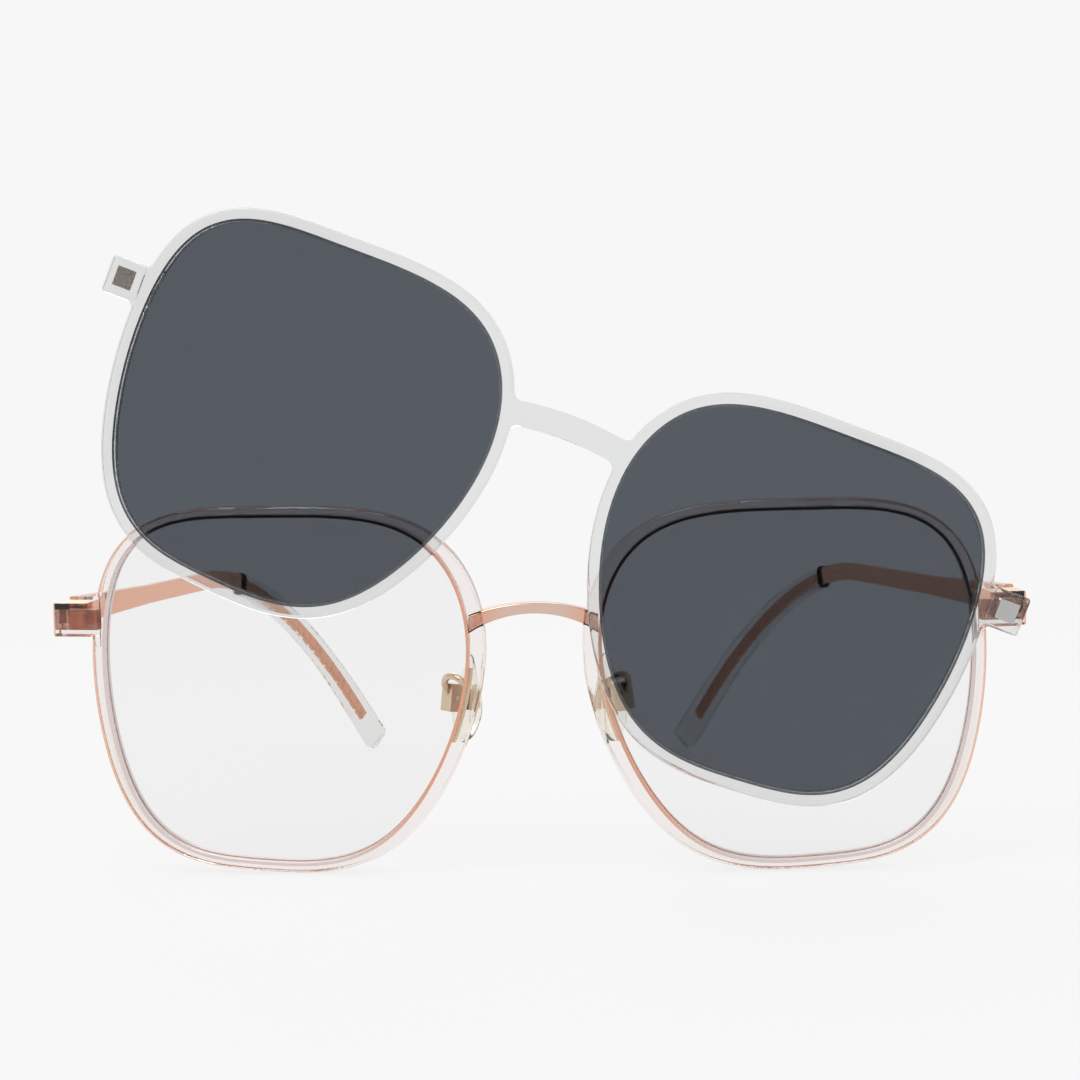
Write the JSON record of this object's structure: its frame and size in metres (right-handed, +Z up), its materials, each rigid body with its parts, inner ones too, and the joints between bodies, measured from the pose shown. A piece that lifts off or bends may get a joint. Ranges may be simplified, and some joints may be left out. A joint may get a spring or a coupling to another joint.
{
  "type": "eyeglasses with magnetic clip-on",
  "caption": "Clear combination eyeglass frame with metal bridge and folding temples, and a clear clip-on with dark lenses hanging by a magnet and swung up at one side.",
  "frame": {"origin": "middle of the foot of the whole object as it stands on its rims and temple tips", "axes": "+X towards the right of the picture (the wearer's left), +Y from the front back along the temples, +Z up; the front leans 3 degrees"},
  "size_m": [0.1388, 0.1406, 0.0949],
  "materials": {
    "clear_acetate": "clear polished plastic",
    "clear_sleeve": "clear polished plastic, slightly grey",
    "clip_plastic": "clear polished plastic",
    "demo_lens": "clear display lens",
    "dark_lens": "grey sun lens, evenly tinted",
    "rose_gold": "polished rose gold plating",
    "copper_brown": "polished copper brown plating",
    "champagne_gold": "polished pale gold plating",
    "magnet": "nickel plated magnet",
    "screw_metal": "plated screw steel",
    "pad_silicone": "clear soft silicone, slightly yellow"
  },
  "bodies": {
    "front": {"bridge": "rose_gold", "left_rim": "clear_acetate", "left_eyewire": "rose_gold", "left_demo_lens": "demo_lens", "left_endpiece": "copper_brown", "left_hinge_screw": "screw_metal", "left_pad_arm": "champagne_gold", "left_pad_box": "champagne_gold", "left_pad_screw": "screw_metal", "right_rim": "clear_acetate", "right_eyewire": "rose_gold", "right_demo_lens": "demo_lens", "right_endpiece": "copper_brown", "right_hinge_screw": "screw_metal", "right_pad_arm": "champagne_gold", "right_pad_box": "champagne_gold", "right_pad_screw": "screw_metal", "left_frame_magnet": "magnet"},
    "pivot_magnet": {"right_frame_magnet": "magnet"},
    "clip": {"clip_frame": "clip_plastic", "clip_lens_left": "dark_lens", "clip_lens_right": "dark_lens", "clip_magnet_left": "magnet", "clip_magnet_right": "magnet"},
    "left_temple": {"left_temple_arm": "rose_gold", "left_temple_sleeve": "clear_sleeve"},
    "right_temple": {"right_temple_arm": "rose_gold", "right_temple_sleeve": "clear_sleeve"},
    "left_pad": {"left_nose_pad": "pad_silicone", "left_pad_core": "champagne_gold"},
    "right_pad": {"right_nose_pad": "pad_silicone", "right_pad_core": "champagne_gold"}
  },
  "joints": [
    {"name": "left_temple_fold", "type": "hinge", "parent": "front", "child": "left_temple", "pos_m": [-0.06596, -0.05517, 0.03775], "axis": [0, 0, -1], "range_deg": [-7, 77]},
    {"name": "right_temple_fold", "type": "hinge", "parent": "front", "child": "right_temple", "pos_m": [0.06584, -0.05517, 0.03775], "axis": [0, 0, 1], "range_deg": [-15, 51]},
    {"name": "left_pad_rock", "type": "hinge", "parent": "front", "child": "left_pad", "pos_m": [-0.01227, -0.05853, 0.02483], "axis": [-0.682, 0.7304, 0.0383], "range_deg": [-7, 7]},
    {"name": "right_pad_rock", "type": "hinge", "parent": "front", "child": "right_pad", "pos_m": [0.01215, -0.05853, 0.02483], "axis": [0.682, 0.7304, 0.0383], "range_deg": [-7, 7]},
    {"name": "clip_swing", "type": "hinge", "parent": "front", "child": "pivot_magnet", "pos_m": [0.06599, -0.06267, 0.0368], "axis": [-0.1316, 0.9905, 0.0407], "range_deg": [-21.8, 68.2]},
    {"name": "clip_lift", "type": "slide", "parent": "pivot_magnet", "child": "clip", "axis": [0.1316, -0.9905, -0.0407], "range_m": [0, 0.015]}
  ]
}
